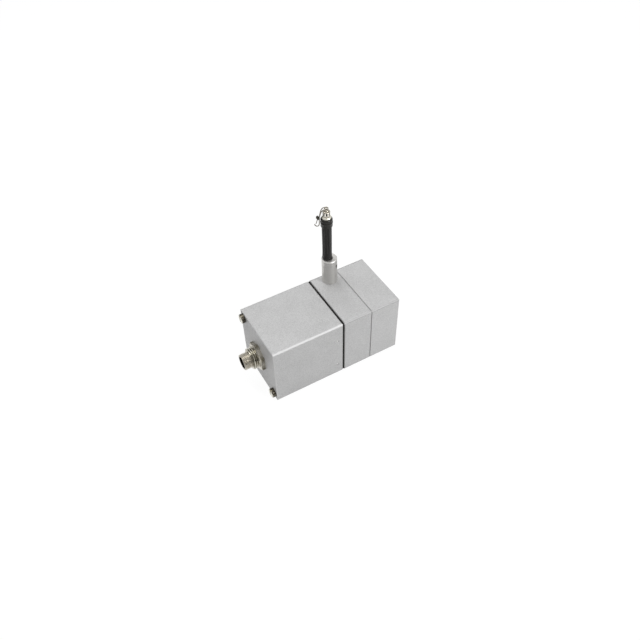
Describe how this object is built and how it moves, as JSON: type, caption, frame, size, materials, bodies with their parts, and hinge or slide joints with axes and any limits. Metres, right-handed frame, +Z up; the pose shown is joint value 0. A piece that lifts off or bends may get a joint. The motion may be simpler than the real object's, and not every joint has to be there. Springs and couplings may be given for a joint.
{
  "type": "draw wire encoder",
  "caption": "Square-bodied draw wire encoder with a threaded connector at one end and a wire outlet tube, rubber-sleeved wire end, swivel and clip on top.",
  "frame": {"origin": "middle of the base, under the middle of the square body", "axes": "+Z up along the wire's way out, +X along the body away from the connector, +Y towards the outlet tube's side"},
  "size_m": [0.1133, 0.05, 0.1157],
  "materials": {
    "housing_aluminium": "fine bead-blasted and clear anodised, satin",
    "nickel_plate": "nickel plated, bright",
    "zinc_steel": "bright zinc plated",
    "bright_steel": "ground bright",
    "black_oxide_steel": "black oxide",
    "spring_steel": "blued",
    "wire_rope": "stranded stainless wire",
    "black_rubber": "matt",
    "black_moulding": "fine matt",
    "guide_plastic": "smooth ivory low-friction plastic",
    "contact_gold": "gold plated",
    "board_laminate": "green solder mask",
    "lead_insulation": "thin leads in eight colours",
    "disc_steel": "etched bright disc"
  },
  "bodies": {
    "housing": {"electronics_housing": "housing_aluminium", "housing_gasket": "black_rubber", "drum_housing": "housing_aluminium", "spring_housing": "housing_aluminium", "bearing_plate": "housing_aluminium", "outlet_tube": "housing_aluminium", "wire_guide": "guide_plastic", "tube_set_screw": "black_oxide_steel", "side_pins": "bright_steel", "housing_screws": "nickel_plate", "cover_screws": "zinc_steel", "connector_shell": "nickel_plate", "connector_nut": "nickel_plate", "connector_seal": "black_rubber", "connector_insert": "black_moulding", "connector_pins": "contact_gold", "bearing_outer_rings": "bright_steel", "bearing_balls": "bright_steel", "board_pillars": "contact_gold", "circuit_board": "board_laminate", "board_parts": "black_moulding", "board_screws": "zinc_steel", "read_head": "black_moulding", "lead_harness": "lead_insulation", "power_spring": "spring_steel"},
    "drum": {"drum_shaft": "bright_steel", "wire_drum": "housing_aluminium", "wire_winding": "wire_rope", "wire_anchor": "wire_rope", "drum_grub_screw": "black_oxide_steel", "bearing_inner_rings": "bright_steel", "shaft_rings": "black_oxide_steel", "spring_arbor": "bright_steel", "disc_hub": "contact_gold", "code_disc": "disc_steel"},
    "wire_end": {"draw_wire": "wire_rope", "rubber_sleeve": "black_rubber", "sleeve_cap": "black_rubber", "ferrule": "nickel_plate", "swivel_barrel": "nickel_plate"},
    "swivel": {"swivel_eye": "nickel_plate"},
    "clip": {"clip_body": "nickel_plate"},
    "gate": {"clip_gate": "nickel_plate"}
  },
  "joints": [
    {"name": "wire_pull", "type": "slide", "parent": "housing", "child": "wire_end", "axis": [0, 0, 1], "range_m": [0, 1], "stiffness_N_per_m": 3, "springref_m": -0.8, "deforming": ["draw_wire"]},
    {"name": "drum_spin", "type": "hinge", "parent": "housing", "child": "drum", "pos_m": [0, 0, 0.025], "axis": [1, 0, 0], "range_deg": [0, 3280], "deforming": ["power_spring"]},
    {"name": "swivel_turn", "type": "hinge", "parent": "wire_end", "child": "swivel", "pos_m": [0.01695, 0.01855, 0.11425], "axis": [0, 0, 1], "continuous": true},
    {"name": "clip_swing", "type": "hinge", "parent": "swivel", "child": "clip", "pos_m": [0.01695, 0.01855, 0.11425], "axis": [0.4772, 0.8788, 0], "range_deg": [0, 150]},
    {"name": "gate_swing", "type": "hinge", "parent": "clip", "child": "gate", "pos_m": [0.01199, 0.02125, 0.10645], "axis": [-0.4772, -0.8788, 0], "range_deg": [0, 16], "stiffness_Nm_per_rad": 0.00003, "springref_deg": -8.59}
  ],
  "couplings": [
    {"joint": "drum_spin", "follows": "wire_pull", "rad_per_m": 57.143}
  ]
}
